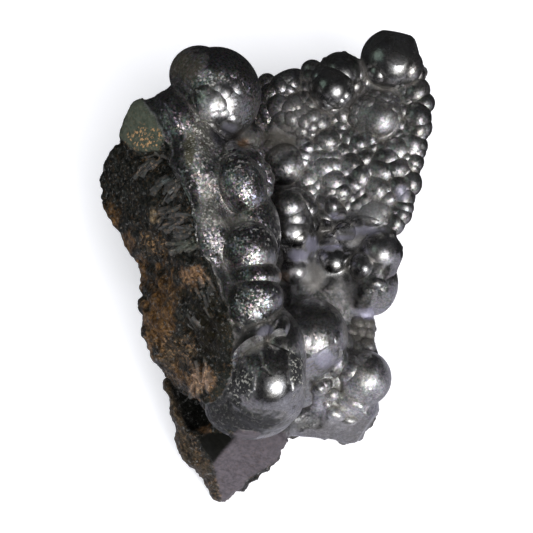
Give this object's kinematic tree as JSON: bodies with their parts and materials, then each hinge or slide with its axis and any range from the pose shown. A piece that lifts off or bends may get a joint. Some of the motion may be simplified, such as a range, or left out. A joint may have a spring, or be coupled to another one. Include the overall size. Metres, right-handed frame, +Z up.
{
  "type": "botryoidal hematite specimen",
  "caption": "Lump of botryoidal hematite: a ridge and a plate of glossy metallic lumps on rough broken, rusty rock, lying on a flat broken face.",
  "frame": {"origin": "middle of the box round the stone, at the height of the table that it lies on", "axes": "+Z up from the table, +Y along the stone away from its pointed front end, +X from the broken ridge side towards the bubbled plate"},
  "size_m": [0.0661, 0.0918, 0.0444],
  "materials": {
    "hematite": "dark metallic grey, glossy on the lumps, rough and rusty where broken"
  },
  "bodies": {
    "root": {"hematite": "hematite"}
  },
  "joints": []
}
